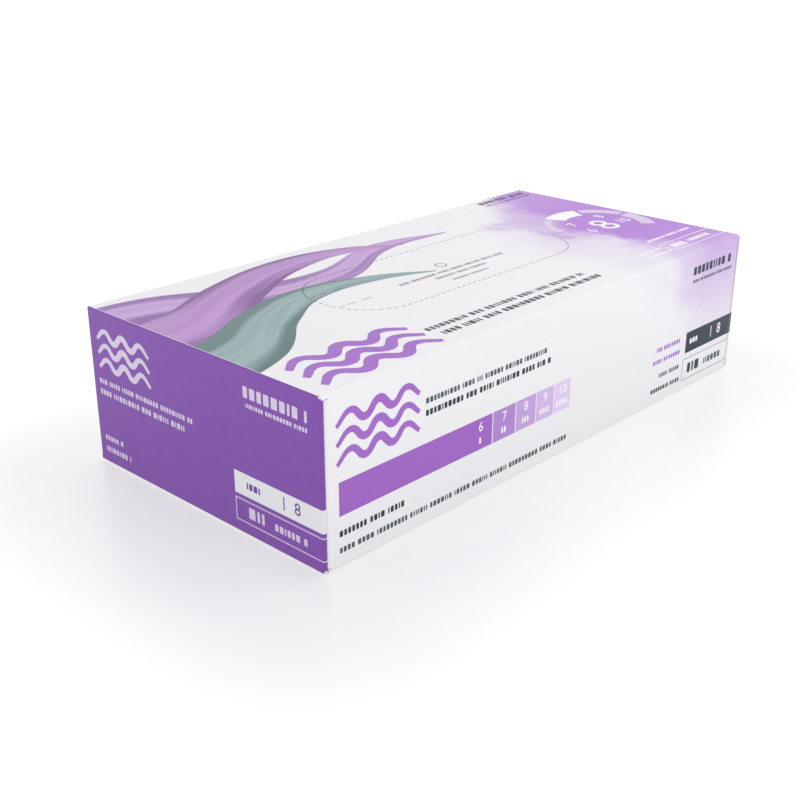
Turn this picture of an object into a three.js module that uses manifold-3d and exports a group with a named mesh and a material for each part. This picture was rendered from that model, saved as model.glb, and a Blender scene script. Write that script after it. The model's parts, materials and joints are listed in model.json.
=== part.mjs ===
// A folding carton that dispenses thin disposable gloves through a perforated oval in its top.
// One sheet of coated board is wrapped into a sleeve, and four folded flaps close each end.
// Sizes are in millimetres and +Z is up. The origin is the centre of the base, +X runs along
// the length, and the front panel faces -Y.

import * as THREE from "three";
import { mergeVertices } from "three/addons/utils/BufferGeometryUtils.js";
import Module from "manifold-3d";

const wasm = await Module();
wasm.setup();

// Outside of the closed carton
const cartonLength = 240;
const cartonWidth = 119;
const cartonHeight = 59.5;

// Thickness of the board, and the inside radius of each kind of fold
const board = 0.5;
const longFoldInside = 1;
const largeFlapFoldInside = 0.3;
const dustFlapFoldInside = 0.7;

// Air between a panel and the flap that turns on it, and between flaps that lie on each other
const foldGap = 0.3;
const layerGap = 0.2;

// Glued seam: the flap inside the back panel, and the panel's cut edge below the fold
const glueFlapWidth = 14;
const seamSetback = 0.4;

// Outer end flap: side edges inside the carton's width, free edge above the floor, free corners
const outerFlapInset = 0.5;
const outerFlapLift = 0.8;
const outerFlapCorner = 1.5;

// Inner end flap: free edge below the top panel, free corners
const innerFlapShort = 2;
const innerFlapCorner = 4;

// Dust flaps: the space left between a pair, how much each edge slopes, free corners
const dustFlapSpacing = 19;
const dustFlapTaper = 6;
const dustFlapCorner = 5;

// Perforated oval in the top panel, with a short straight run at each end
const ovalLength = 127.5;
const ovalWidth = 45.5;
const ovalEndRun = 3.5;
const ovalShiftX = 1;
const ovalShiftY = 1.2;

// Perforation: its cut, and the nicks that bridge it until the panel is torn out
const cutWidth = 0.35;
const nickLength = 0.8;
const nickPitch = 2.9;
const nickGap = 0.1;

// Slits on each side of the pull tab, counted inwards from the oval's left end
const tabWidth = 15;
const tabSlits = [
  { start: 1.5, length: 2 },
  { start: 5, length: 4 },
  { start: 12, length: 4.5 },
];

// Facets of a quarter turn in a fold, and in a corner of the oval
const foldSteps = 6;
const ovalSteps = 24;

const whiteBoard = new THREE.MeshStandardMaterial({ color: 0xeeedf0, roughness: 0.45 });
const violetBoard = new THREE.MeshStandardMaterial({ color: 0x8358a8, roughness: 0.4 });

const halfWidth = cartonWidth / 2;
const longFoldRadius = longFoldInside + board;

// Each end's layers from the outside in, by the outer face of the board in each
const outerLayer = cartonLength / 2;
const innerLayer = outerLayer - board - layerGap;
const dustLayer = innerLayer - board - layerGap;

// Where the fold of each flap starts, on the panel that carries it
const outerFoldStart = outerLayer - board - largeFlapFoldInside;
const innerFoldStart = innerLayer - board - largeFlapFoldInside;
const dustFoldStart = dustLayer - board - dustFlapFoldInside;

// Longer and deeper than any solid that it cuts or trims
const throughAll = 2 * cartonLength;

// Directions in which a flat outline is pushed out: its own x and y, then the way out
const axisX = new THREE.Vector3(1, 0, 0);
const axisY = new THREE.Vector3(0, 1, 0);
const axisZ = new THREE.Vector3(0, 0, 1);
const alongX = new THREE.Matrix4().makeBasis(axisY, axisZ, axisX);
const alongY = new THREE.Matrix4().makeBasis(axisX, axisZ, axisY.clone().negate());
const alongZ = new THREE.Matrix4();

// Outline through corners [x, y, radius], each rounded by its own radius or left sharp at 0
function roundedOutline(corners) {
  const points = [];
  corners.forEach(([x, y, radius], index) => {
    const corner = new THREE.Vector2(x, y);
    if (radius === 0) {
      points.push(corner);
      return;
    }
    const [beforeX, beforeY] = corners.at(index - 1);
    const [afterX, afterY] = corners[(index + 1) % corners.length];
    const back = new THREE.Vector2(beforeX - x, beforeY - y).normalize();
    const ahead = new THREE.Vector2(afterX - x, afterY - y).normalize();
    const halfAngle = back.angleTo(ahead) / 2;
    const inwards = back.clone().add(ahead).normalize();
    const centre = corner.clone().addScaledVector(inwards, radius / Math.sin(halfAngle));
    const start = corner.clone().addScaledVector(back, radius / Math.tan(halfAngle));
    const turn = -Math.sign(back.cross(ahead)) * (Math.PI - 2 * halfAngle);
    for (let step = 0; step <= foldSteps; step += 1) {
      points.push(start.clone().rotateAround(centre, (turn * step) / foldSteps));
    }
  });
  return points;
}

// Rectangle from one corner to the opposite one
function rectangle(x0, y0, x1, y1) {
  return roundedOutline([[x0, y0, 0], [x1, y0, 0], [x1, y1, 0], [x0, y1, 0]]);
}

// Prism of a flat outline with holes, centred on the origin along its direction
function prism(outline, depth, direction, holes = []) {
  const shape = new THREE.Shape(outline);
  shape.holes = holes.map((hole) => new THREE.Path(hole));
  const geometry = new THREE.ExtrudeGeometry(shape, { depth, bevelEnabled: false });
  return geometry.translate(0, 0, -depth / 2).applyMatrix4(direction);
}

function solidFrom(geometry) {
  geometry.deleteAttribute("normal");
  geometry.deleteAttribute("uv");
  const merged = mergeVertices(geometry);
  const mesh = new wasm.Mesh({
    numProp: 3,
    vertProperties: merged.attributes.position.array,
    triVerts: Uint32Array.from(merged.index.array),
  });
  return new wasm.Manifold(mesh);
}

function geometryFrom(solid) {
  const mesh = solid.getMesh();
  const geometry = new THREE.BufferGeometry();
  geometry.setAttribute("position", new THREE.BufferAttribute(mesh.vertProperties, 3));
  geometry.setIndex(new THREE.BufferAttribute(mesh.triVerts, 1));
  geometry.computeVertexNormals();
  return geometry;
}

function namedMesh(name, geometry, material) {
  const mesh = new THREE.Mesh(geometry, material);
  mesh.name = name;
  return mesh;
}

// Edge of the perforated oval, walked anticlockwise, moved inwards by an inset
function ovalEdge(inset) {
  const radius = (ovalWidth - ovalEndRun) / 2;
  const centreX = ovalLength / 2 - radius;
  const centreY = ovalEndRun / 2;
  const quarters = [[1, -1], [1, 1], [-1, 1], [-1, -1]];
  const path = new THREE.Path();
  quarters.forEach(([sideX, sideY], index) => {
    const start = ((index - 1) * Math.PI) / 2;
    path.absarc(sideX * centreX, sideY * centreY, radius - inset, start, start + Math.PI / 2);
  });
  path.closePath();
  return path;
}

// Edge of the tear-out panel: the oval less the cut, with a tooth at each nick
function nickedEdge() {
  const edge = ovalEdge(cutWidth);
  const round = edge.getLength();
  const nicks = Math.round(round / nickPitch);
  const points = [];
  for (let nick = 0; nick < nicks; nick += 1) {
    const from = nick / nicks;
    const to = from + nickLength / round;
    const outwards = edge.getTangent((from + to) / 2).rotateAround(new THREE.Vector2(), -Math.PI / 2);
    const reach = outwards.multiplyScalar(cutWidth - nickGap);
    const root = edge.getPoint(from);
    const end = edge.getPoint(to);
    points.push(root, root.clone().add(reach), end.clone().add(reach), end);
  }
  return points;
}

// Slits of the pull tab, each a narrow slot that starts inside the rounded end of the oval
function tabCuts() {
  const radius = (ovalWidth - ovalEndRun) / 2;
  const rise = Math.max(0, (tabWidth - ovalEndRun) / 2);
  const edgeAtTab = -ovalLength / 2 + radius - Math.sqrt(radius ** 2 - rise ** 2);
  return [-tabWidth / 2, tabWidth / 2].flatMap((y) =>
    tabSlits.map(({ start, length }) => {
      const x = edgeAtTab + start;
      return rectangle(x, y - cutWidth / 2, x + length, y + cutWidth / 2);
    }),
  );
}

// Section of the sleeve across its length: the outside with the step of the glued seam
function sleeveOutside() {
  const seamTop = cartonHeight - longFoldRadius - seamSetback;
  return roundedOutline([
    [-halfWidth, 0, longFoldRadius],
    [halfWidth, 0, longFoldRadius],
    [halfWidth, seamTop, 0],
    [halfWidth - board, seamTop, 0],
    [halfWidth - board, cartonHeight, longFoldRadius],
    [-halfWidth, cartonHeight, longFoldRadius],
  ]);
}

// The inside of the same section, where the glue flap doubles the top of the back panel
function sleeveInside() {
  const glueFlapEnd = cartonHeight - glueFlapWidth;
  return roundedOutline([
    [-halfWidth + board, board, longFoldInside],
    [halfWidth - board, board, longFoldInside],
    [halfWidth - board, glueFlapEnd, 0],
    [halfWidth - 2 * board, glueFlapEnd, 0],
    [halfWidth - 2 * board, cartonHeight - board, longFoldInside],
    [-halfWidth + board, cartonHeight - board, longFoldInside],
  ]);
}

// Sleeve of the four long panels, cut back where a flap turns on a panel, with the oval window
function carton_sleeve() {
  const length = 2 * (outerFoldStart - foldGap);
  let sleeve = solidFrom(prism(sleeveOutside(), length, alongX, [sleeveInside()]));

  const window = prism(ovalEdge(0).getPoints(ovalSteps), cartonHeight, alongZ);
  sleeve = sleeve.subtract(solidFrom(window.translate(ovalShiftX, ovalShiftY, cartonHeight)));

  // Deep enough for the back panel with its glue flap, and short of the opposite panel
  const cutDepth = 3 * board;
  for (const end of [-1, 1]) {
    const innerCut = end * (innerFoldStart - foldGap);
    const floorCut = rectangle(innerCut, -cutDepth, end * throughAll, cutDepth);
    sleeve = sleeve.subtract(solidFrom(prism(floorCut, cartonWidth - 2 * longFoldRadius, alongY)));

    const dustCut = end * (dustFoldStart - foldGap);
    const wallCut = rectangle(dustCut, -cutDepth, end * throughAll, cutDepth);
    for (const face of [-halfWidth, halfWidth]) {
      const slot = prism(wallCut, cartonHeight - 2 * longFoldRadius, alongZ);
      sleeve = sleeve.subtract(solidFrom(slot.translate(0, face, cartonHeight / 2)));
    }
  }
  return namedMesh("carton_sleeve", geometryFrom(sleeve), whiteBoard);
}

// Tear-out panel, nested in the window and level with the top
function tear_out_panel() {
  let sheet = solidFrom(prism(nickedEdge(), board, alongZ));
  for (const slit of tabCuts()) {
    sheet = sheet.subtract(solidFrom(prism(slit, 2 * board, alongZ)));
  }
  const panel = namedMesh("tear_out_panel", geometryFrom(sheet), whiteBoard);
  panel.position.set(ovalShiftX, ovalShiftY, cartonHeight - board / 2);
  return panel;
}

// Section of a folded flap: from its panel's outer face round the fold and along its layer.
// The way in says on which side of that face the board lies.
function flapSection(foldStart, layer, foldInside, face, wayIn, freeEdge) {
  return roundedOutline([
    [foldStart, face, 0],
    [layer, face, foldInside + board],
    [layer, freeEdge, 0],
    [layer - board, freeEdge, 0],
    [layer - board, face + wayIn * board, foldInside],
    [foldStart, face + wayIn * board, 0],
  ]);
}

// A folded sheet trimmed to the flap's outline, as seen from the end of the carton
function trimmedFlap(name, foldedSheet, endView, material) {
  const trim = solidFrom(prism(endView, throughAll, alongX));
  const flap = solidFrom(foldedSheet).intersect(trim);
  return namedMesh(name, geometryFrom(flap), material);
}

// Large flap that folds down from the top panel and shows as the end of the carton
function outerFlap(name) {
  const side = halfWidth - outerFlapInset;
  const section = flapSection(
    outerFoldStart, outerLayer, largeFlapFoldInside, cartonHeight, -1, outerFlapLift,
  );
  const endView = roundedOutline([
    [-side, outerFlapLift, outerFlapCorner],
    [side, outerFlapLift, outerFlapCorner],
    [side, throughAll, 0],
    [-side, throughAll, 0],
  ]);
  return trimmedFlap(name, prism(section, cartonWidth, alongY), endView, violetBoard);
}

// Large flap that folds up from the bottom panel, behind the outer one
function innerFlap(name) {
  const side = halfWidth - longFoldRadius - foldGap;
  const freeEdge = cartonHeight - board - innerFlapShort;
  const section = flapSection(innerFoldStart, innerLayer, largeFlapFoldInside, 0, 1, freeEdge);
  const endView = roundedOutline([
    [-side, -throughAll, 0],
    [side, -throughAll, 0],
    [side, freeEdge, innerFlapCorner],
    [-side, freeEdge, innerFlapCorner],
  ]);
  return trimmedFlap(name, prism(section, cartonWidth, alongY), endView, whiteBoard);
}

// Small flap that folds in from the front panel, at side -1, or the back panel, at side 1
function dustFlap(name, side) {
  const low = longFoldRadius + foldGap;
  const high = cartonHeight - low;
  const face = side * halfWidth;
  const freeEdge = (side * dustFlapSpacing) / 2;
  const section = flapSection(dustFoldStart, dustLayer, dustFlapFoldInside, face, -side, freeEdge);
  const endView = roundedOutline([
    [face, low, 0],
    [freeEdge, low + dustFlapTaper, dustFlapCorner],
    [freeEdge, high - dustFlapTaper, dustFlapCorner],
    [face, high, 0],
  ]);
  const foldedSheet = prism(section, high - low, alongZ).translate(0, 0, cartonHeight / 2);
  return trimmedFlap(name, foldedSheet, endView, whiteBoard);
}

// One closed end, built facing +X. Seen from outside it, the panel on its left is at -Y.
function closedEnd(name, leftPanel, rightPanel) {
  const end = new THREE.Group();
  end.add(
    outerFlap(`outer_flap_${name}`),
    innerFlap(`inner_flap_${name}`),
    dustFlap(`dust_flap_${name}_${leftPanel}`, -1),
    dustFlap(`dust_flap_${name}_${rightPanel}`, 1),
  );
  return end;
}

const carton = new THREE.Group();
carton.add(carton_sleeve(), tear_out_panel());

const rightEnd = closedEnd("right", "front", "back");
const leftEnd = closedEnd("left", "back", "front");
leftEnd.rotation.z = Math.PI;
carton.add(rightEnd, leftEnd);

export default carton;
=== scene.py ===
# %% [markdown]
# # A printed carton for thin disposable gloves
# The real carton is one sheet of coated board: printed, die-cut, creased, folded and glued. The packed
# frame holds its panels and flaps at their real size, as plain solids. This lesson gives them their
# looks. Each board is modelled as a sheet that runs round its creases, and the ink is laid on it
# afterwards.

import json
import math
import random

import bmesh
import bpy
from mathutils import Matrix, Vector

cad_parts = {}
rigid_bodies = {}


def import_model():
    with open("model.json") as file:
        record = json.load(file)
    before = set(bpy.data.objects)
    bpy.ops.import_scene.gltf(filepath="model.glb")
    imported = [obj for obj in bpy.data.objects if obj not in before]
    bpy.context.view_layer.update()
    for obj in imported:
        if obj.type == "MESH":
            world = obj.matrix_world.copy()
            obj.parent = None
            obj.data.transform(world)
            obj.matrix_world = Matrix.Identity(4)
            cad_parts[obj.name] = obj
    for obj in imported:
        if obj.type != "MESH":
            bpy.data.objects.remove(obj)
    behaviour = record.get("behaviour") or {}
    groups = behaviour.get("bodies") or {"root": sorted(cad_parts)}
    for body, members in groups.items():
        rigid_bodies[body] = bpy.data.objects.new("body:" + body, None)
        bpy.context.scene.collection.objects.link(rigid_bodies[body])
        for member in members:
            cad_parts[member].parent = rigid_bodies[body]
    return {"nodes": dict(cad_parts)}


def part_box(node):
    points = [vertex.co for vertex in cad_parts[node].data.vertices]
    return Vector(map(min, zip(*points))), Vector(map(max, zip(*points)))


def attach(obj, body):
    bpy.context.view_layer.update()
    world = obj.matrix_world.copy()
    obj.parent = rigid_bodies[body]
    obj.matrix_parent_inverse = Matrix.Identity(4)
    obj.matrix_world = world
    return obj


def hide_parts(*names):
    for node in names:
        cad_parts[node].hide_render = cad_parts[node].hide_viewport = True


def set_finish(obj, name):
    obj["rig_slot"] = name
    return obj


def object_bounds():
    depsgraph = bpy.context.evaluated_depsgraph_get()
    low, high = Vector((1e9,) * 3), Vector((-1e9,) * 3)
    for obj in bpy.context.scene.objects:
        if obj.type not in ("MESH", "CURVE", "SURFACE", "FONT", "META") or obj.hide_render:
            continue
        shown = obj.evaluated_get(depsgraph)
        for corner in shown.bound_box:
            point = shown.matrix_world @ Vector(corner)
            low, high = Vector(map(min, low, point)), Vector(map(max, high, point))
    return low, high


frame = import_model()
cad_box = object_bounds()

MM = 0.001


def box_in_mm(node):
    """Lowest and highest corner of a solid of the frame, in millimetres."""
    low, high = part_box(node)
    return low / MM, high / MM


carton_low, carton_high = (corner / MM for corner in cad_box)
LENGTH, WIDTH, HEIGHT = carton_high - carton_low
print(f"carton {LENGTH:.1f} x {WIDTH:.1f} x {HEIGHT:.1f} mm, solids {sorted(frame['nodes'])}")

# %% [markdown]
# ## Sizes of the board
# Board of 400 g per square metre is half a millimetre thick. A crease turns it through a right angle on a
# small radius, and the radius is larger along the length, where the board's fibres resist the fold. Where
# each panel ends and each flap starts is read from the frame, so that the sheets meet without a gap.

# %% Board sizes
BOARD = 0.5
LONG_FOLD = 1.5
FOLD_STEPS = 8
FLAP_FOLD_STEPS = 6
FOLD_REACH = 0.55

sleeve_end = box_in_mm("carton_sleeve")[1].x
outer_low, outer_high = box_in_mm("outer_flap_right")
inner_low, inner_high = box_in_mm("inner_flap_right")
dust_low, dust_high = box_in_mm("dust_flap_right_front")

CREASE_GAP = outer_low.x - sleeve_end
floor_end = inner_low.x - CREASE_GAP
wall_end = dust_low.x - CREASE_GAP

GLUE_FLAP = 14
GLUE_FILM = 0.03
SEAM_SETBACK = 0.4
print(f"top ends at {sleeve_end:.1f}, bottom at {floor_end:.1f}, front and back at {wall_end:.1f} mm")

# %% [markdown]
# ## Working on a bench
# It is easiest to draw a panel lying flat in front of us, in millimetres from its lower left corner, and
# to stand it up when it is done. One matrix for each panel does that. Its columns say where right, up and
# outwards go on the finished carton, and its last column is the corner.

# %% Where each panel stands
def panel_matrix(corner, right, up):
    """Turns flat millimetres on the bench into metres on a panel, seen from outside."""
    right, up = Vector(right), Vector(up)
    outwards = right.cross(up)
    columns = (right * MM, up * MM, outwards * MM, Vector(corner) * MM)
    return Matrix([[column[row] for column in columns] for row in range(3)]).to_4x4()


LEFT, RIGHT = -LENGTH / 2, LENGTH / 2
FRONT, BACK = -WIDTH / 2, WIDTH / 2
TOP_PANEL = panel_matrix((LEFT, FRONT, HEIGHT), (1, 0, 0), (0, 1, 0))
FRONT_PANEL = panel_matrix((LEFT, FRONT, 0), (1, 0, 0), (0, 0, 1))
BACK_PANEL = panel_matrix((RIGHT, BACK, 0), (-1, 0, 0), (0, 0, 1))
LEFT_END = panel_matrix((LEFT, BACK, 0), (0, -1, 0), (0, 0, 1))
RIGHT_END = panel_matrix((RIGHT, FRONT, 0), (0, 1, 0), (0, 0, 1))
WHOLE = Matrix.Scale(MM, 4)

# %% [markdown]
# ## Small tools for edit mode
# Operators act on whatever is selected. So each step starts by choosing vertices, edges or faces by where
# they lie, as a hand would click them, and then calls extrude, bevel or bisect on the choice.

# %% Small tools
def start(add, **settings):
    """Add a primitive alone, put its place in its mesh, and open it with all of it selected."""
    bpy.ops.object.select_all(action="DESELECT")
    add(**settings)
    bpy.ops.object.transform_apply(location=True, rotation=True, scale=True)
    bpy.ops.object.mode_set(mode="EDIT")
    bpy.ops.mesh.select_all(action="SELECT")


def pick(kind, test):
    """Select only the vertices, edges or faces whose middle passes a test."""
    bpy.ops.mesh.select_mode(type=kind)
    bpy.ops.mesh.select_all(action="DESELECT")
    mesh = bpy.context.edit_object.data
    shape = bmesh.from_edit_mesh(mesh)
    choice = {"VERT": shape.verts, "EDGE": shape.edges, "FACE": shape.faces}[kind]
    for part in choice:
        corners = [part] if kind == "VERT" else part.verts
        middle = sum((corner.co for corner in corners), Vector()) / len(corners)
        if test(middle):
            part.select_set(True)
    shape.select_flush_mode()
    bmesh.update_edit_mesh(mesh)


def near(a, b):
    return abs(a - b) < 0.001


def resize(width, height, middle):
    bpy.ops.transform.resize(value=(width, height, 1), center_override=middle)


def extrude(x, y, z):
    bpy.ops.mesh.extrude_region_move(TRANSFORM_OT_translate={"value": (x, y, z)})


def apply_modifier(piece, kind, **settings):
    """Put one modifier on a piece and apply it."""
    modifier = piece.modifiers.new(kind.lower(), kind)
    for name, value in settings.items():
        setattr(modifier, name, value)
    bpy.context.view_layer.objects.active = piece
    bpy.ops.object.modifier_apply(modifier=modifier.name)


def finish_piece(name, matrix, slot, replaced=()):
    """Close the piece, stand it on its panel, shade it smooth and let it ride on the carton."""
    bpy.ops.object.mode_set(mode="OBJECT")
    piece = bpy.context.object
    piece.name = name
    piece.data.name = name
    piece.matrix_world = matrix @ piece.matrix_world
    bpy.ops.object.transform_apply(location=True, rotation=True, scale=True)
    bpy.ops.object.shade_smooth_by_angle(angle=math.radians(30))
    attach(piece, "root")
    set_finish(piece, slot)
    if replaced:
        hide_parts(*replaced)
    print(f"{name}: {len(piece.data.vertices)} vertices, {len(piece.data.polygons)} faces")
    return piece


# %% [markdown]
# ## Materials: one helper
# A shader is a graph of nodes. One function adds a node, sets what is constant on its own sockets and
# links the rest, so that each finish below reads from top to bottom. Colours are written as they look on
# a screen, and Blender works with linear light, so a second function converts them.

# %% Material helpers
def linear(code):
    """A colour such as "#8358A8" as linear light, with full opacity."""
    channels = [int(code[start:start + 2], 16) / 255 for start in (1, 3, 5)]
    return [c / 12.92 if c <= 0.04045 else ((c + 0.055) / 1.055) ** 2.4 for c in channels] + [1.0]


def add_node(material, kind, inputs=None, **settings):
    """Add a node. Its inputs are set to a value, or linked where the value is another node's socket."""
    tree = material.node_tree
    node = tree.nodes.new("ShaderNode" + kind)
    for name, value in settings.items():
        setattr(node, name, value)
    for key, value in (inputs or {}).items():
        if isinstance(value, bpy.types.NodeSocket):
            tree.links.new(value, node.inputs[key])
        else:
            node.inputs[key].default_value = value
    return node


def new_material(name):
    """An empty node material, and its surface shader linked to the output."""
    material = bpy.data.materials.new(name)
    material.use_nodes = True
    material.node_tree.nodes.clear()
    shader = add_node(material, "BsdfPrincipled")
    add_node(material, "OutputMaterial", {"Surface": shader.outputs["BSDF"]})
    return material, shader


def feed(material, source, shader, socket):
    material.node_tree.links.new(source, shader.inputs[socket])


def millimetres(material):
    """The place on the carton in millimetres, from the object's own coordinates in metres."""
    place = add_node(material, "TexCoord").outputs["Object"]
    return add_node(material, "VectorMath", {0: place, "Scale": 1 / MM}, operation="SCALE").outputs[0]


def mottle(material, place, light, dark, spot):
    """Two close colours in soft spots of a given size in millimetres."""
    noise = add_node(material, "TexNoise", {"Vector": place, "Scale": 1 / spot, "Detail": 4.0})
    tones = {0: noise.outputs["Fac"], 6: linear(dark), 7: linear(light)}
    return add_node(material, "Mix", tones, data_type="RGBA").outputs[2]


def varnish(material, shader, place, roughness, ripple):
    """A thin satin varnish: even gloss, and a ripple left by the roller that evens it out."""
    shader.inputs["IOR"].default_value = 1.48
    shader.inputs["Specular IOR Level"].default_value = 0.28
    gloss = add_node(material, "TexNoise", {"Vector": place, "Scale": 1 / 6, "Detail": 3.0})
    span = {0: gloss.outputs["Fac"], 3: roughness - 0.05, 4: roughness + 0.05}
    feed(material, add_node(material, "MapRange", span).outputs[0], shader, "Roughness")
    skin = add_node(material, "TexNoise", {"Vector": place, "Scale": 1 / ripple, "Detail": 2.0})
    bump = {"Height": skin.outputs["Fac"], "Strength": 0.05, "Distance": 0.05 * MM}
    feed(material, add_node(material, "Bump", bump).outputs[0], shader, "Normal")


# %% [markdown]
# ## White clay-coated board with a lilac wash
# The outside of folding boxboard is coated with white clay, so it is bright, very slightly cloudy and
# satin under its varnish. The print on it starts as a wash that deepens towards the right-hand end of the
# top and runs on over the long fold, a little way down the front. Real print doesn't stop at a crease, so
# the wash is worked out on the unfolded sheet: "across" counts from the fold between front and top, up
# over the top as a positive number and down the front as a negative one.

# %% Coated white board with the wash
COATED_WHITE = "#EBEAED"
COATED_SHADE = "#E8E7EA"
WASH_LILAC = "#AC74D0"
ROLLER_RIPPLE = 0.9

# Each layer of the wash: where it starts along the top, how softly, how far it waves, and how dense it is
WASH_LAYERS = (
    {"start": 148, "soft": 40, "wave": 7, "turn": 24, "phase": 0.4, "density": 0.20},
    {"start": 172, "soft": 20, "wave": 6, "turn": 15, "phase": 2.1, "density": 0.42},
    {"start": 186, "soft": 16, "wave": 5, "turn": 11, "phase": 4.0, "density": 0.36},
)

# Across the sheet, from the foot of the front to the back of the top: place, density, and how far the wash
# stays back
WASH_ACROSS = (
    (-48, 0.0, 34), (-31, 0.22, 24), (-14, 0.5, 14), (-3, 0.64, 12), (5, 0.78, 14), (18, 0.95, 12),
    (38, 1.0, 4), (64, 1.0, 0), (84, 0.95, 8), (102, 0.9, 24), (119, 0.85, 34),
)
MOST_SETBACK = 40
WASH_CLOUD = 30
WASH_DRIFT = 60.0


def wash_density(material, place):
    """How much of the wash lies at a place, from 0 to 1."""
    split = add_node(material, "SeparateXYZ", {0: place})
    x, y, z = split.outputs
    along = add_node(material, "Math", {0: x, 1: -LEFT}, operation="ADD").outputs[0]
    rise = add_node(material, "Math", {0: z, 1: -FRONT - HEIGHT}, operation="ADD").outputs[0]
    across = add_node(material, "Math", {0: y, 1: rise}, operation="ADD").outputs[0]
    cloud_size = {"Vector": place, "Scale": 1 / WASH_CLOUD, "Detail": 5.0, "Roughness": 0.55}
    clouds = add_node(material, "TexNoise", cloud_size)
    drift = add_node(material, "Math", {0: clouds.outputs["Fac"], 1: -0.5}, operation="ADD").outputs[0]
    low, high = WASH_ACROSS[0][0], WASH_ACROSS[-1][0]
    share = add_node(material, "MapRange", {0: across, 1: low, 2: high}).outputs[0]
    profile = add_node(material, "ValToRGB", {0: share})
    stops = profile.color_ramp.elements
    while len(stops) < len(WASH_ACROSS):
        stops.new(0.5)
    for stop, (where, density, setback) in zip(stops, WASH_ACROSS):
        stop.position = (where - low) / (high - low)
        stop.color = (density, setback / MOST_SETBACK, 0, 1)
    strength, setback, _ = add_node(material, "SeparateXYZ", {0: profile.outputs[0]}).outputs
    held_back = {0: setback, 1: -MOST_SETBACK, 2: along}
    along = add_node(material, "Math", held_back, operation="MULTIPLY_ADD").outputs[0]

    total = 0.0
    for layer in WASH_LAYERS:
        angle = {0: across, 1: 1 / layer["turn"], 2: layer["phase"]}
        wave = add_node(material, "Math", angle, operation="MULTIPLY_ADD").outputs[0]
        wave = add_node(material, "Math", {0: wave}, operation="SINE").outputs[0]
        waved = {0: wave, 1: layer["wave"], 2: along}
        edge = add_node(material, "Math", waved, operation="MULTIPLY_ADD").outputs[0]
        drifted = {0: drift, 1: WASH_DRIFT, 2: edge}
        edge = add_node(material, "Math", drifted, operation="MULTIPLY_ADD").outputs[0]
        ramp = {0: edge, 1: layer["start"], 2: layer["start"] + layer["soft"], 4: layer["density"]}
        step = add_node(material, "MapRange", ramp, interpolation_type="SMOOTHSTEP").outputs[0]
        total = add_node(material, "Math", {0: step, 1: total}, operation="ADD").outputs[0]

    total = add_node(material, "Math", {0: total, 1: strength}, operation="MULTIPLY").outputs[0]
    back_fold = {0: y, 1: BACK - LONG_FOLD, 2: BACK - BOARD, 3: 1.0, 4: 0.0}
    off_back = add_node(material, "MapRange", back_fold).outputs[0]
    return add_node(material, "Math", {0: total, 1: off_back}, operation="MULTIPLY").outputs[0]


white_print, shader = new_material("clay_coated_board_with_lilac_wash")
place = millimetres(white_print)
clean = mottle(white_print, place, COATED_WHITE, COATED_SHADE, 2.5)
wash = {0: wash_density(white_print, place), 6: clean, 7: linear(WASH_LILAC)}
feed(white_print, add_node(white_print, "Mix", wash, data_type="RGBA").outputs[2], shader, "Base Color")
varnish(white_print, shader, place, 0.42, ROLLER_RIPPLE)
print("made", white_print.name)

# %% [markdown]
# ## Solid violet print
# The end flaps are flooded with one strong ink. A flood coat is never quite even: it shows faint clouds a
# few millimetres across, where the board took more or less of it.

# %% Solid violet
VIOLET_LIGHT = "#804CA8"
VIOLET_DARK = "#7A46A3"

violet_print, shader = new_material("solid_violet_offset_ink")
place = millimetres(violet_print)
feed(violet_print, mottle(violet_print, place, VIOLET_LIGHT, VIOLET_DARK, 3.5), shader, "Base Color")
varnish(violet_print, shader, place, 0.38, ROLLER_RIPPLE)

# %% [markdown]
# ## Cut edge and inside
# A blade through the board shows its core, a bright fibrous pulp with no coating. The inside is uncoated
# too: matt, slightly grey, with short fibres that lie along the grain. The walls of the narrow slits of a
# perforation are given a darker grey: painted shade, for the shade deep inside a narrow slit.

# %% Board core and uncoated inside
def raw_board(name, light, dark):
    """Uncoated pulp: matt, with fibres a few tenths of a millimetre thick that lie along the carton."""
    material, shader = new_material(name)
    place = millimetres(material)
    grain = add_node(material, "Mapping", {"Vector": place, "Scale": (0.5, 4.0, 4.0)}).outputs[0]
    feed(material, mottle(material, grain, light, dark, 1.0), shader, "Base Color")
    shader.inputs["Roughness"].default_value = 0.9
    fibre = add_node(material, "TexNoise", {"Vector": grain, "Scale": 1.5, "Detail": 5.0})
    bump = {"Height": fibre.outputs["Fac"], "Strength": 0.3, "Distance": 0.03 * MM}
    feed(material, add_node(material, "Bump", bump).outputs[0], shader, "Normal")
    return material


board_core = raw_board("boxboard_core_pulp", "#F4F1EC", "#E6E2DA")
board_inside = raw_board("uncoated_boxboard_inside", "#DAD7D2", "#CAC6C0")
# Darker grey for the slit walls: painted shade, for the shade deep in a narrow slit
slit_wall_painted_shade = raw_board("boxboard_slit_wall_painted_shade", "#9C9AA0", "#86848C")

# %% [markdown]
# ## From a sheet to a board
# Every sheet below is drawn as its printed outside only. Solidify then gives it half a millimetre
# inwards, and its material offsets put the core on the rim and the uncoated side behind. A bevelled fold
# is a set of strips that are very long and narrow, and these shade with dark streaks, so the sheet is cut
# across them. Cut before the bevel, the lines also keep the radius even up to a rounded corner.

# %% Give a sheet its thickness
def divide(places, across=(1, 0, 0)):
    """Cut the open sheet across at each of the places."""
    for place in places:
        bpy.ops.mesh.select_all(action="SELECT")
        bpy.ops.mesh.bisect(plane_co=[place * share for share in across], plane_no=across)


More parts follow.
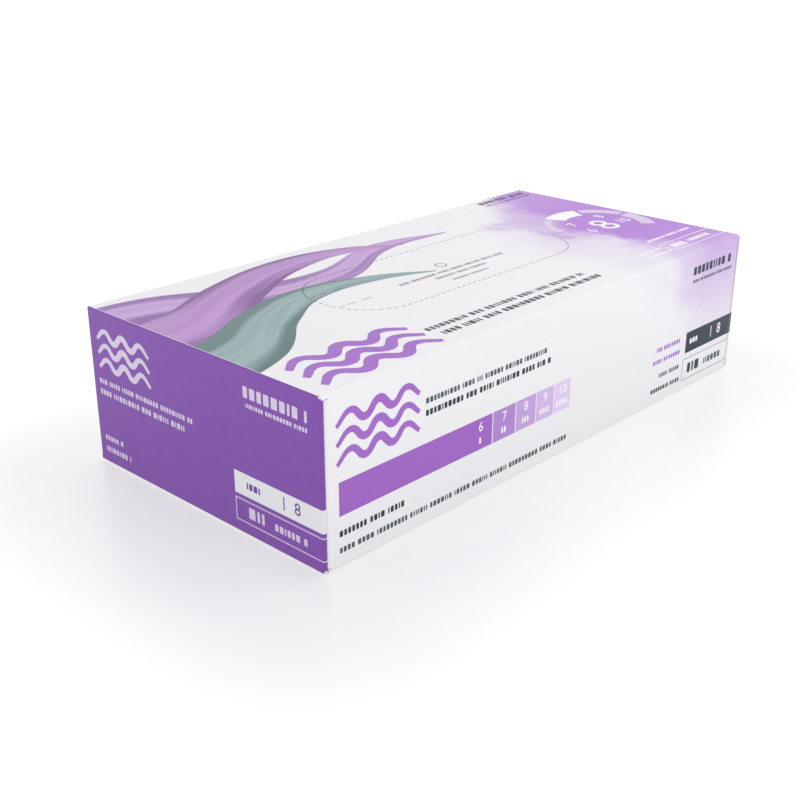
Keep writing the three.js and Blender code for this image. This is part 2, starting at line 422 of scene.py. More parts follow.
def thicken_board(printed, second_print=None):
    """Turn the sheet in edit mode into board, with its printed materials first in the slots.

    Faces whose middle passes the test second_print take the second material.
    """
    piece = bpy.context.object
    for material in (*printed, board_core, board_inside):
        piece.data.materials.append(material)
    if second_print:
        pick("FACE", second_print)
        piece.active_material_index = 1
        bpy.ops.object.material_slot_assign()
    bpy.ops.mesh.select_all(action="SELECT")
    bpy.ops.object.mode_set(mode="OBJECT")
    apply_modifier(
        piece, "SOLIDIFY", thickness=BOARD, offset=-1, use_even_offset=True,
        material_offset_rim=len(printed), material_offset=len(printed) + 1,
    )


# %% [markdown]
# ## The perforated oval
# A perforation is a row of short slits with uncut nicks between them. On the top it follows a long oval.
# The oval is a rectangle with its four corners rounded by a vertex bevel, and three things are made from
# it: the sheet that tears out, the cutter for the window that is left, and the line that the slits
# follow. One slit is modelled, an Array repeats it at the pitch of the blade, and a Curve modifier bends
# the row round the line.

# %% The oval and its slits
OVAL_LENGTH, OVAL_WIDTH, OVAL_CORNER = 127.5, 45.5, 21
SLIT_PITCH = 2.9
SLIT_LENGTH = 1.8
SLIT_WIDTH = 0.4
CUT_DEPTH = 4

tear_low, tear_high = box_in_mm("tear_out_panel")
oval_middle = Vector(((tear_low.x + tear_high.x) / 2, (tear_low.y + tear_high.y) / 2, HEIGHT))


def start_oval():
    """A flat oval in the plane of the top, open in edit mode."""
    start(bpy.ops.mesh.primitive_plane_add, size=1, location=oval_middle)
    resize(OVAL_LENGTH, OVAL_WIDTH, oval_middle)
    bpy.ops.mesh.bevel(offset=OVAL_CORNER, segments=24, affect="VERTICES")


start_oval()
bpy.ops.mesh.delete(type="ONLY_FACE")
bpy.ops.object.mode_set(mode="OBJECT")
edge_line = bpy.context.object
points = [vertex.co for vertex in edge_line.data.vertices]
sides = [[points[index] for index in edge.vertices] for edge in edge_line.data.edges]
oval_round = sum((side[0] - side[1]).length for side in sides)
bpy.ops.object.convert(target="CURVE")
edge_line = bpy.context.object

slit_count = round(oval_round / SLIT_PITCH)
bpy.ops.object.select_all(action="DESELECT")
slit_size = (SLIT_LENGTH, SLIT_WIDTH, CUT_DEPTH)
bpy.ops.mesh.primitive_cube_add(size=1, location=(SLIT_LENGTH / 2, 0, 0), scale=slit_size)
bpy.ops.object.transform_apply(location=True, rotation=True, scale=True)
slits = bpy.context.object
apply_modifier(
    slits, "ARRAY", count=slit_count, use_relative_offset=False, use_constant_offset=True,
    constant_offset_displace=(oval_round / slit_count, 0, 0),
)
apply_modifier(slits, "CURVE", object=edge_line)
print(f"{slit_count} slits round {oval_round:.0f} mm")

# %% [markdown]
# The pull tab is marked by two short rows of slits that run inwards from the left end of the oval. They
# are cubes added to the same cutter in edit mode.

# %% Slits of the pull tab
TAB_WIDTH = 15
TAB_SLITS = ({"start": 1.5, "length": 2}, {"start": 5, "length": 4}, {"start": 12, "length": 4.5})

end_run = OVAL_WIDTH / 2 - OVAL_CORNER
tab_rise = TAB_WIDTH / 2 - end_run
tab_edge = oval_middle.x - OVAL_LENGTH / 2 + OVAL_CORNER - math.sqrt(OVAL_CORNER**2 - tab_rise**2)
bpy.ops.object.mode_set(mode="EDIT")
for side in (-1, 1):
    for slit in TAB_SLITS:
        middle = (tab_edge + slit["start"] + slit["length"] / 2, oval_middle.y + side * TAB_WIDTH / 2, HEIGHT)
        slit_size = (slit["length"], SLIT_WIDTH, CUT_DEPTH)
        bpy.ops.mesh.primitive_cube_add(size=1, location=middle, scale=slit_size)
bpy.ops.object.mode_set(mode="OBJECT")
# The slit walls take the grey of painted shade
slits.data.materials.append(slit_wall_painted_shade)

start_oval()
bpy.ops.transform.translate(value=(0, 0, CUT_DEPTH / 2))
extrude(0, 0, -CUT_DEPTH)
bpy.ops.mesh.select_all(action="SELECT")
bpy.ops.mesh.normals_make_consistent(inside=False)
bpy.ops.object.mode_set(mode="OBJECT")
window = bpy.context.object
window.data.materials.append(board_core)


def cut(piece, cutter):
    """Cut one closed shape out of another, with the cutter's material on the new walls."""
    bpy.ops.object.select_all(action="DESELECT")
    piece.select_set(True)
    apply_modifier(piece, "BOOLEAN", object=cutter, operation="DIFFERENCE", material_mode="TRANSFER")


# %% [markdown]
# ## The sleeve
# Four long panels and a glue flap make a tube. A cube gives the bottom, front and top at once: its ends
# and its back are deleted. The top's free edge is drawn in by one board and a film of glue, and extruded
# down as the glue flap. The bottom's free edge is extruded up as the back panel, which covers it. The
# four long edges are then bevelled to the radius of the crease.

# %% Fold the sleeve
SLEEVE_CUTS = range(-112, 113, 8)
seam_face = BACK - BOARD - GLUE_FILM
tube_size = (2 * sleeve_end, WIDTH, HEIGHT)
start(bpy.ops.mesh.primitive_cube_add, size=1, location=(0, 0, HEIGHT / 2), scale=tube_size)
pick("FACE", lambda m: near(abs(m.x), sleeve_end) or near(m.y, BACK))
bpy.ops.mesh.delete(type="FACE")
pick("EDGE", lambda m: near(m.y, BACK) and near(m.z, HEIGHT))
bpy.ops.transform.translate(value=(0, seam_face - BACK, 0))
extrude(0, 0, -GLUE_FLAP)
pick("EDGE", lambda m: near(m.y, BACK) and near(m.z, 0))
extrude(0, 0, HEIGHT - LONG_FOLD - SEAM_SETBACK)
bpy.ops.mesh.select_all(action="SELECT")
bpy.ops.mesh.normals_make_consistent(inside=False)
folds = ((FRONT, 0), (FRONT, HEIGHT), (BACK, 0), (seam_face, HEIGHT))
pick("EDGE", lambda m: any(near(m.y, y) and near(m.z, z) for y, z in folds))
bpy.ops.mesh.bevel(offset=LONG_FOLD, segments=FOLD_STEPS, affect="EDGES")
divide(SLEEVE_CUTS)

# %% [markdown]
# A panel ends where its flap starts to turn. Bisect draws those lines across the sheet, and the strips
# beyond them go: on the bottom and its folds for the inner flaps, and on the front and back for the dust
# flaps. The folds of the top run on a little way, as they do under a flap. Each of their ends is closed
# flat: its edge is extruded in place and drawn in to the centre of the fold.

# %% Trim the sleeve's ends
def on_top_fold(m):
    return m.z > HEIGHT - LONG_FOLD and not near(m.z, HEIGHT)


for trim in (-floor_end, -wall_end, wall_end, floor_end):
    bpy.ops.mesh.select_all(action="SELECT")
    bpy.ops.mesh.bisect(plane_co=(trim, 0, 0), plane_no=(1, 0, 0))
pick("FACE", lambda m: abs(m.x) > floor_end and m.z < LONG_FOLD)
bpy.ops.mesh.delete(type="FACE")
upright = (FRONT, seam_face, BACK)
pick("FACE", lambda m: abs(m.x) > wall_end and any(near(m.y, y) for y in upright))
bpy.ops.mesh.delete(type="FACE")
for side in (-1, 1):
    pick("EDGE", lambda m: near(m.x, side * sleeve_end) and on_top_fold(m))
    extrude(side * FOLD_REACH, 0, 0)
    fold_end = side * (sleeve_end + FOLD_REACH)
    for fold_side, fold_axis in ((-1, FRONT + LONG_FOLD), (1, seam_face - LONG_FOLD)):
        pick("EDGE", lambda m: near(m.x, fold_end) and m.y * fold_side > 0)
        extrude(0, 0, 0)
        fold_centre = (fold_end, fold_axis, HEIGHT - LONG_FOLD)
        bpy.ops.transform.resize(value=(1, 0, 0), center_override=fold_centre)
        bpy.ops.mesh.remove_doubles(threshold=0.01)
thicken_board([white_print])
sleeve = bpy.context.object
cut(sleeve, window)
cut(sleeve, slits)
sleeve = finish_piece("sleeve_board", WHOLE, "white_board", ["carton_sleeve"])

# %% [markdown]
# The sheet that tears out is the same oval, with the same slits cut into its rim. Between the slits it
# meets the top, and a thumb tears these nicks.

# %% The sheet that tears out
start_oval()
thicken_board([white_print])
tear_out = bpy.context.object
cut(tear_out, slits)
tear_out = finish_piece("tear_out_board", WHOLE, "white_board", ["tear_out_panel"])

# %% [markdown]
# ## The end flaps
# Each end is closed by four flaps: two dust flaps from the front and back, the inner flap from the
# bottom, and the violet outer flap from the top. One end is modelled and turned half round for the other,
# with a mesh of its own for each copy. A flap is a plane as seen from outside. Its corners are rounded by
# a vertex bevel, the strip that joins it to its panel is extruded backwards from one edge, and that edge
# is bevelled to the radius of the fold. The outer flap's sides are curled back the same way, as the
# creasing tool leaves them. Its violet stops half way round the top fold, and one side curl stays white.

# %% Flap tools
def start_plane(left, low, right, high):
    """A rectangle on the bench, open in edit mode."""
    middle = ((left + right) / 2, (low + high) / 2, 0)
    start(bpy.ops.mesh.primitive_plane_add, size=1, location=middle)
    resize(right - left, high - low, middle)


def round_corners(radius, segments, test):
    pick("VERT", test)
    bpy.ops.mesh.bevel(offset=radius, segments=segments, affect="VERTICES")


def layer(depth):
    """The right-hand end, moved in to the layer where a flap lies."""
    return RIGHT_END @ Matrix.Translation((0, 0, -depth))


def turned_copy(piece, name, turn, replaced):
    """A copy with its own mesh, turned to where the same flap is used again."""
    bpy.ops.object.select_all(action="DESELECT")
    piece.select_set(True)
    bpy.context.view_layer.objects.active = piece
    bpy.ops.object.duplicate()
    copy = bpy.context.object
    copy.matrix_world = turn @ copy.matrix_world
    bpy.ops.object.parent_clear(type="CLEAR_KEEP_TRANSFORM")
    bpy.ops.object.transform_apply(location=True, rotation=True, scale=True)
    copy.name = name
    copy.data.name = name
    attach(copy, "root")
    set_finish(copy, piece["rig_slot"])
    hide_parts(replaced)
    print(f"{name}: copied from {piece.name}")
    return copy


HALF_TURN = Matrix.Rotation(math.pi, 4, "Z")

# %% Outer flaps
CURL_DEPTH = 1.35
CURL_REACH = 0.3
SHOULDER = 1.25
FREE_CORNER = 0.9

# The first and last cut lie just past the rounded corners
CUTS_ALONG = (1.8, *range(6, 115, 6), 117.2)
CUTS_UP = (2.2, *range(6, 55, 6), 57.8)
outer_fold = 0.6
flap_left = outer_low.y - FRONT - CURL_REACH
flap_right = WIDTH - flap_left
foot = outer_low.z

start_plane(flap_left, foot, flap_right, HEIGHT)
round_corners(SHOULDER, 1, lambda m: near(m.y, HEIGHT))
round_corners(FREE_CORNER, 5, lambda m: near(m.y, foot))
pick("EDGE", lambda m: near(m.y, HEIGHT))
extrude(0, 0, sleeve_end - outer_high.x)
pick("EDGE", lambda m: near(m.x, flap_left) or near(m.x, flap_right))
extrude(0, 0, -CURL_DEPTH)
divide(CUTS_ALONG)
divide(CUTS_UP, (0, 1, 0))
bpy.ops.mesh.select_all(action="SELECT")
bpy.ops.mesh.normals_make_consistent(inside=False)
pick("EDGE", lambda m: near(m.z, 0) and (near(m.y, HEIGHT) or near(m.x, flap_left) or near(m.x, flap_right)))
bpy.ops.mesh.bevel(offset=outer_fold, segments=FLAP_FOLD_STEPS, affect="EDGES")
white_from = 0.3 * outer_fold


def stays_white(m):
    return m.y > HEIGHT - white_from or m.x < flap_left + white_from


thicken_board([violet_print, white_print], stays_white)
outer = finish_piece("outer_flap_board_right", layer(0), "violet_board", ["outer_flap_right"])
turned_copy(outer, "outer_flap_board_left", HALF_TURN, "outer_flap_left")

# %% [markdown]
# The inner flap turns up from the bottom, one layer behind the outer flap. It shows as a thin white line
# below the violet, and its lower corners are rounded like the long folds that they close.

# %% Inner flaps
INNER_CORNER = 4
INNER_SETBACK = 0.25
INNER_CUTS = (3, *range(6, 115, 6), 116)
inner_fold = inner_high.x - inner_low.x
start_plane(INNER_SETBACK, 0, WIDTH - INNER_SETBACK, inner_high.z)
round_corners(INNER_CORNER, 6, lambda m: near(m.y, inner_high.z))
round_corners(LONG_FOLD - INNER_SETBACK, 5, lambda m: near(m.y, 0))
pick("EDGE", lambda m: near(m.y, 0))
extrude(0, 0, floor_end - inner_high.x)
divide(INNER_CUTS)
bpy.ops.mesh.select_all(action="SELECT")
bpy.ops.mesh.normals_make_consistent(inside=False)
pick("EDGE", lambda m: near(m.y, 0) and near(m.z, 0))
bpy.ops.mesh.bevel(offset=inner_fold, segments=FLAP_FOLD_STEPS, affect="EDGES")
thicken_board([white_print])
inner_layer = layer(RIGHT - inner_high.x)
inner = finish_piece("inner_flap_board_right", inner_layer, "white_board", ["inner_flap_right"])
turned_copy(inner, "inner_flap_board_left", HALF_TURN, "inner_flap_left")

# %% [markdown]
# A dust flap tapers towards its free edge so that it can't jam when the machine tucks it in. Its top and
# bottom are alike, so turning it over about the carton's long axis gives the flap on the other side.

# %% Dust flaps
DUST_TAPER = 6
DUST_CORNER = 5
DUST_CUTS = range(6, 55, 6)
dust_fold = dust_high.x - dust_low.x
free_edge = dust_high.y - FRONT
foot, head = dust_low.z, dust_high.z
start_plane(0, foot, free_edge, head)
pick("VERT", lambda m: near(m.x, free_edge))
taper = 1 - 2 * DUST_TAPER / (head - foot)
bpy.ops.transform.resize(value=(1, taper, 1), center_override=(free_edge, (foot + head) / 2, 0))
round_corners(DUST_CORNER, 6, lambda m: near(m.x, free_edge))
pick("EDGE", lambda m: near(m.x, 0))
extrude(0, 0, wall_end - dust_high.x)
bpy.ops.mesh.select_all(action="SELECT")
bpy.ops.mesh.normals_make_consistent(inside=False)
pick("EDGE", lambda m: near(m.x, 0) and near(m.z, 0))
bpy.ops.mesh.bevel(offset=dust_fold, segments=FLAP_FOLD_STEPS, affect="EDGES")
divide(DUST_CUTS, (0, 1, 0))
thicken_board([white_print])
dust_layer = layer(RIGHT - dust_high.x)
dust = finish_piece("dust_flap_board_right_front", dust_layer, "white_board", ["dust_flap_right_front"])
middle = Matrix.Translation((0, 0, HEIGHT / 2 * MM))
over = middle @ Matrix.Rotation(math.pi, 4, "X") @ middle.inverted()
turned_copy(dust, "dust_flap_board_right_back", over, "dust_flap_right_back")
turned_copy(dust, "dust_flap_board_left_back", HALF_TURN, "dust_flap_left_back")
turned_copy(dust, "dust_flap_board_left_front", HALF_TURN @ over, "dust_flap_left_front")

# %% [markdown]
# ## Inks
# Offset ink is a film far thinner than the board. Drawn as a thin closed sheet that stands a fiftieth of
# a millimetre proud, it keeps the knife-sharp edge that print has, at any distance. All inks lie under
# the same varnish, so they differ in colour and in how cloudy they are, not in gloss.

# %% Ink materials
def ink(name, light, dark):
    """Printed ink under satin varnish, with faint clouds between two close tones."""
    material, shader = new_material(name)
    place = millimetres(material)
    feed(material, mottle(material, place, light, dark, 2.0), shader, "Base Color")
    varnish(material, shader, place, 0.4, ROLLER_RIPPLE)
    return material


SCALE_TINTS = (("#9D62C2", "#995DBD"), ("#AF85CE", "#AB80CA"), ("#C19FDB", "#BD9AD8"), ("#CFB6E4", "#CBB1E1"),
               ("#DCCBEC", "#D8C7E9"))
scale_inks = [ink(f"violet_ink_tint_{number}", *tones) for number, tones in enumerate(SCALE_TINTS, 1)]
stroke_ink = ink("violet_ink_strokes", "#A268C6", "#9C62C0")
slate_ink = ink("slate_ink_solid", "#1C2E40", "#18293A")
text_ink = ink("slate_ink_fine", "#4A5561", "#434E5A")
faint_ink = ink("slate_ink_hairline", "#8F8B99", "#868290")
pale_ink = ink("cool_grey_ink_tint", "#E3E4E8", "#DFE0E4")
deep_violet_ink = ink("deep_violet_ink_solid", "#6D4196", "#663A8E")
bare_white = ink("unprinted_coating", "#F4F2F7", "#F0EEF3")
soft_white = ink("unprinted_coating_with_tint", "#D3C8DF", "#CEC3DB")

# %% [markdown]
# ## Drawing print
# A print is one mesh with many flat shapes in it. It is opened empty in edit mode, and rectangles, rows
# of blocks, rings and frames are added to it. Closing it rounds all the corners at once, gives the ink
# its thickness and lays it on its panel.

# %% Print tools
INK_RISE = 0.02
INK_FILM = 0.06
OVERPRINT = 0.03
WRAP_PAST = 0.3

# Small print, as shares of its height, and the height of a digit as a share of the type size
DASH_WIDTHS = (0.3, 0.55, 0.65, 0.75)
DASH_GAP, WORD_GAP = 0.26, 0.5
DIGIT_SHARE = 0.73
DIGIT_SWELL = 0.012


def open_print():
    bpy.ops.object.select_all(action="DESELECT")
    bpy.ops.object.add(type="MESH")
    bpy.ops.object.mode_set(mode="EDIT")
    bpy.ops.mesh.select_mode(type="VERT")


def block(left, low, right, high):
    """One flat rectangle in the print that is open."""
    middle = ((left + right) / 2, (low + high) / 2, INK_RISE)
    bpy.ops.mesh.primitive_plane_add(size=1, location=middle)
    resize(right - left, high - low, middle)


def outline(left, low, right, high, line, closed=True):
    """The frame of a rectangle, as thin blocks that meet at its corners. An open one has no right side."""
    block(left, low, right, low + line)
    block(left, high - line, right, high)
    block(left, low + line, left + line, high - line)
    if closed:
        block(right - line, low + line, right, high - line)


def ring(x, y, inner, outer, steps=72):
    """A flat ring: the edge of a disc, extruded and drawn in."""
    bpy.ops.mesh.primitive_circle_add(vertices=steps, radius=inner, location=(x, y, INK_RISE))
    extrude(0, 0, 0)
    resize(outer / inner, outer / inner, (x, y, INK_RISE))


def wrap(edge, fold, depth):
    """Carry the open print round a fold at one of its upright edges."""
    pick("EDGE", lambda m: near(m.x, edge))
    extrude(0, 0, -depth)
    pick("EDGE", lambda m: near(m.x, edge) and near(m.z, INK_RISE))
    bpy.ops.mesh.bevel(offset=fold, segments=FLAP_FOLD_STEPS, affect="EDGES")


def dashes(left, right, low, height, seed):
    """A row of plain blocks in groups, as even and as dense as a line of small print."""
    dice = random.Random(seed)
    pen = left
    while pen < right:
        for _ in range(dice.randint(3, 10)):
            width = height * dice.choice(DASH_WIDTHS)
            if pen + width > right:
                return
            block(pen, low, pen + width, low + height)
            pen += width + DASH_GAP * height
        pen += WORD_GAP * height


def close_print(name, panel, material, corner=0.0, slot="white_board", over=0):
    """Round all corners, thicken the film and lay the print over so many others on its panel."""
    bpy.ops.mesh.select_all(action="SELECT")
    if corner:
        bpy.ops.mesh.bevel(offset=corner, segments=2, affect="VERTICES", clamp_overlap=True)
    bpy.ops.transform.translate(value=(0, 0, over * OVERPRINT))
    bpy.ops.object.mode_set(mode="OBJECT")
    piece = bpy.context.object
    piece.data.materials.append(material)
    apply_modifier(piece, "SOLIDIFY", thickness=INK_FILM, offset=-1)
    return finish_piece(name, panel, slot)


def numbers(name, panel, material, places, height, slot="white_board", over=1):
    """Plain numbers, each centred on a place [text, x, y]."""
    parts = []
    for text, x, y in places:
        bpy.ops.object.select_all(action="DESELECT")
        bpy.ops.object.text_add(location=(x, y, INK_RISE))
        written = bpy.context.object
        written.data.body = text
        written.data.size = height / DIGIT_SHARE
        written.data.align_x = "CENTER"
        written.data.align_y = "CENTER"
        written.data.offset = DIGIT_SWELL
        written.data.resolution_u = 4
        bpy.ops.object.convert(target="MESH")
        bpy.ops.object.transform_apply(location=True, rotation=True, scale=True)
        parts.append(bpy.context.object)
    for part in parts:
        part.select_set(True)
    bpy.context.view_layer.objects.active = parts[0]
    if len(parts) > 1:
        bpy.ops.object.join()
    bpy.ops.object.mode_set(mode="EDIT")
    return close_print(name, panel, material, 0.0, slot, over)


# %% [markdown]
# ## Long sides: the size scale
# The front carries a bar that runs into five lighter blocks with the glove sizes, 6 to 10. Each block has
# an ink of its own, one tint lighter than the last, and below each number stands a row of pips that grows
# with the size. The back is printed like the front, as the two long sides of such cartons usually are.

# %% Size scale
LONG_SIDES = {"front": FRONT_PANEL, "back": BACK_PANEL}
SCALE_LOW, SCALE_HIGH = 18, 29.5
SCALE_BLOCKS = ((6.5, 78.5), (79, 91), (91.5, 102.5), (103, 113), (113.5, 123))
SIZES = ("6", "7", "8", "9", "10")
NUMBER_ROW = 26.2
PIP_ROW = 20.2
PIP_WIDTH, PIP_HEIGHT, PIP_STEP = 0.9, 2.2, 1.45

size_middles = [SCALE_BLOCKS[0][1] - 6] + [sum(edges) / 2 for edges in SCALE_BLOCKS[1:]]
for side, panel in LONG_SIDES.items():
    for number, (edges, tint) in enumerate(zip(SCALE_BLOCKS, scale_inks), 1):
        open_print()
        block(edges[0], SCALE_LOW, edges[1], SCALE_HIGH)
        close_print(f"{side}_scale_block_{number}", panel, tint)
    number_places = [(text, x, NUMBER_ROW) for text, x in zip(SIZES, size_middles)]
    numbers(f"{side}_scale_numbers", panel, bare_white, number_places, 3.6)
    open_print()
    for count, x in enumerate(size_middles, 1):
        for pip in range(count):
            pip_left = x + (pip - count / 2) * PIP_STEP
            block(pip_left, PIP_ROW, pip_left + PIP_WIDTH, PIP_ROW + PIP_HEIGHT)
    close_print(f"{side}_scale_pips", panel, bare_white, 0.2, over=1)

# %% [markdown]
# ## Long sides: small print and labels
# Small print is set as rows of plain blocks. The slate label and the outlined one below it run to the
# right-hand end and round the fold there. The slate one goes on over the curled edge of the end flap.

# %% Small print of the long sides
for side, panel in LONG_SIDES.items():
    open_print()
    dashes(45, 108, 43.2, 1.9, 11)
    dashes(6.5, 122, 5.3, 1.9, 14)
    dashes(184, 200, 11.2, 1.8, 15)
    dashes(204, 236, 46.3, 1.3, 18)
    close_print(f"{side}_small_print", panel, text_ink, 0.3)
    open_print()
    dashes(45, 112, 38.9, 2.1, 12)
    dashes(6.5, 38, 10.9, 2.1, 13)
    dashes(179, 200, 5.4, 1.8, 16)
    dashes(204, 236, 49.6, 3.4, 17)
    close_print(f"{side}_bold_print", panel, slate_ink, 0.3)
    open_print()
    dashes(181, 200, 22.7, 1.8, 19)
    dashes(179, 200, 17.7, 1.8, 20)
    close_print(f"{side}_violet_small_print", panel, stroke_ink, 0.3)

# %% Labels of the long sides
LABEL_LEFT = 203
SLATE_LOW, SLATE_HIGH = 16.5, 25.5
label_end = dust_high.x - LEFT + INK_RISE
for side, panel in LONG_SIDES.items():
    open_print()
    block(LABEL_LEFT, SLATE_LOW, label_end, SLATE_HIGH)
    wrap(label_end, dust_fold, dust_fold + WRAP_PAST)
    close_print(f"{side}_slate_label", panel, slate_ink)
    open_print()
    outline(LABEL_LEFT - 1, 4.5, label_end, 14, 0.3, closed=False)
    wrap(label_end, dust_fold, dust_fold + WRAP_PAST)
    close_print(f"{side}_outlined_label", panel, faint_ink)
    open_print()
    dashes(206, 214, 20, 2.2, 21)
    block(222.5, 18.6, 223, 23.6)
    close_print(f"{side}_slate_label_marks", panel, bare_white, 0.2, over=1)
    numbers(f"{side}_slate_label_number", panel, bare_white, [("8", 229, 21)], 4.6)
    open_print()
    dashes(206, 217, 7.2, 4.2, 22)
    close_print(f"{side}_outlined_label_bold_marks", panel, slate_ink, 0.3)
    open_print()
    dashes(219, 233, 7.6, 2.8, 23)
    close_print(f"{side}_outlined_label_marks", panel, text_ink, 0.3)

# %% [markdown]
# ## Ends: marks and labels
# The ends are reversed out of the violet: their marks are the white board with a tint of violet over it.
# Only the left end shows in the photograph, and the right one is printed the same. The two labels run to
# the upright edge and wrap round the curl of the flap.

# %% Marks and labels of the ends
ENDS = {"left_end": LEFT_END, "right_end": RIGHT_END}
END_LABEL_LEFT = 77.5
end_label_right = flap_right + INK_RISE
for side, panel in ENDS.items():
    open_print()
    dashes(4, 57, 31.6, 1.9, 31)
    dashes(4, 15, 9.6, 1.9, 33)
    dashes(85, 113.5, 46, 1.5, 36)
    dashes(96.5, 112, 7.4, 2.4, 39)
    close_print(f"{side}_small_print", panel, soft_white, 0.3, "violet_board")
    open_print()
    dashes(4, 54, 27.4, 2.1, 32)
    dashes(4, 20, 5.0, 2.1, 34)
    dashes(84, 113.5, 49.2, 3.8, 35)
    dashes(84, 94.5, 7.0, 4.0, 38)
    close_print(f"{side}_bold_print", panel, soft_white, 0.3, "violet_board")
    open_print()
    block(END_LABEL_LEFT, 14.5, end_label_right, 22.5)
    wrap(end_label_right, outer_fold, CURL_DEPTH)
    close_print(f"{side}_label_bar", panel, pale_ink, 0.0, "violet_board")
    open_print()
    outline(END_LABEL_LEFT, 4.7, end_label_right, 13, 0.4, closed=False)
    wrap(end_label_right, outer_fold, CURL_DEPTH)
    close_print(f"{side}_outlined_label", panel, soft_white, 0.0, "violet_board")
    open_print()
    dashes(83.5, 92.5, 17.4, 2.3, 37)
    block(101, 16.2, 101.5, 21)
    close_print(f"{side}_label_marks", panel, deep_violet_ink, 0.2, "violet_board", over=1)
    numbers(f"{side}_label_number", panel, deep_violet_ink, [("8", 107.5, 18.6)], 4.4, "violet_board")

# %% The slate label where it crosses the curl of the right-hand flap
open_print()
block(flap_left - INK_RISE, SLATE_LOW, flap_left + outer_fold + WRAP_PAST, SLATE_HIGH)
wrap(flap_left - INK_RISE, outer_fold, CURL_DEPTH)
close_print("right_end_slate_label_edge", RIGHT_END, slate_ink)

# %% [markdown]
# ## Top: small print
# Two lines of print run along the front fold, three short ones lie in the oval, under a small ring, and
# one stands at the far right corner. On the wash at the right the print is reversed out in white.

# %% Small print of the top
open_print()
dashes(62, 150, 14.4, 2.7, 41)
dashes(204, 236, 107.4, 1.4, 46)
close_print("top_small_print", TOP_PANEL, text_ink, 0.3)
open_print()
dashes(64, 154, 8.6, 2.9, 42)
dashes(204, 236, 110.6, 3.4, 45)
close_print("top_bold_print", TOP_PANEL, slate_ink, 0.3)
open_print()
dashes(91, 151, 54.2, 1.9, 43)
dashes(106, 136, 50.0, 1.7, 44)
dashes(110, 131, 45.2, 1.3, 47)
ring(120.5, 61.5, 1.9, 2.5, 32)
close_print("top_oval_print", TOP_PANEL, faint_ink)

open_print()
dashes(203, 236, 21, 1.9, 48)
dashes(184, 200, 12.4, 1.7, 49)
dashes(183, 200, 7.8, 1.7, 50)
dashes(205, 215, 9.3, 4.0, 51)
dashes(217, 234, 9.9, 2.8, 52)
close_print("top_white_print", TOP_PANEL, bare_white, 0.3)
open_print()
outline(201, 7, LENGTH + INK_RISE, 16, 0.4, closed=False)
wrap(LENGTH + INK_RISE, outer_fold, outer_fold + 0.2)
close_print("top_outlined_label", TOP_PANEL, bare_white)

# %% [markdown]
# ## Top: the size dial
# On the dark part of the wash stands the size that the box holds, as a plain dial: five arcs, one for
# each size, with the chosen one broad and white. A ring is drawn for each arc, and the faces whose bearing
# lies outside the arc are deleted.

# %% Size dial
DIAL_X, DIAL_Y = 214, 53
DIAL_OUTER = 24
ARC_SPAN, ARC_GAP = 50, 5
ARC_WIDTHS = (2.2, 3.2, 9.0, 5.2, 6.2)
CHOSEN = 2
NUMBER_RADIUS = 12.2


def bearing(m):
    """Degrees round the dial, clockwise from straight down."""
    return math.degrees(math.atan2(DIAL_X - m.x, DIAL_Y - m.y)) % 360


first_bearing = 180 - 2.5 * ARC_SPAN - 2 * ARC_GAP
middles = [first_bearing + ARC_SPAN / 2 + number * (ARC_SPAN + ARC_GAP) for number in range(len(SIZES))]


def dial_arc(number):
    """One arc of the dial as an open print of its own."""
    open_print()
    ring(DIAL_X, DIAL_Y, DIAL_OUTER - ARC_WIDTHS[number], DIAL_OUTER, 144)
    pick("FACE", lambda m: abs(bearing(m) - middles[number]) > ARC_SPAN / 2)
    bpy.ops.mesh.delete(type="FACE")


for number in range(len(SIZES)):
    dial_arc(number)
    close_print(f"dial_arc_{number + 1}", TOP_PANEL, bare_white if number == CHOSEN else soft_white)

number_places = []
for text, angle in zip(SIZES, middles):
    x = DIAL_X - NUMBER_RADIUS * math.sin(math.radians(angle))
    y = DIAL_Y - NUMBER_RADIUS * math.cos(math.radians(angle))
    number_places.append((text, x, y))
small_places = [place for place in number_places if place[0] != SIZES[CHOSEN]]
numbers("dial_numbers", TOP_PANEL, bare_white, small_places, 5.6, over=0)
numbers("dial_chosen_number", TOP_PANEL, bare_white, [(SIZES[CHOSEN], DIAL_X, DIAL_Y - 3)], 15.0, over=0)

# %% [markdown]
# ## Wavy strokes and ribbons
# The large ornament on each face is made of strokes that follow a curve. A grid lies along a path, and
# the Curve modifier bends it. The path's radius at each point sets half the stroke's width there, so a
# ribbon can swell and taper. Its own UV map runs along and across it, for finishes that follow the curve.

# %% Strokes along a path
def start_stroke(route, steps, lanes):
    """A flat strip along a route of rows (x, y, half width), open in edit mode."""
    bpy.ops.object.select_all(action="DESELECT")
    bpy.ops.curve.primitive_bezier_curve_add()
    path = bpy.context.object
    bpy.ops.object.mode_set(mode="EDIT")
    bpy.ops.curve.select_all(action="SELECT")
    if len(route) > 2:
        bpy.ops.curve.subdivide(number_cuts=len(route) - 2)
    bpy.ops.object.mode_set(mode="OBJECT")
    for point, (x, y, half_width) in zip(path.data.splines[0].bezier_points, route):
        point.handle_left_type = "AUTO"
        point.handle_right_type = "AUTO"
        point.co = (x, y, 0)
        point.radius = half_width
    path.data.use_stretch = True
    path.data.use_deform_bounds = True
    path.data.resolution_u = 24
    bpy.ops.object.select_all(action="DESELECT")
    bpy.ops.mesh.primitive_grid_add(x_subdivisions=steps, y_subdivisions=lanes, size=2)
    strip = bpy.context.object
    apply_modifier(strip, "CURVE", object=path)
    bpy.data.objects.remove(path)
    bpy.ops.object.mode_set(mode="EDIT")
    bpy.ops.mesh.select_all(action="SELECT")
    bpy.ops.transform.translate(value=(0, 0, INK_RISE))


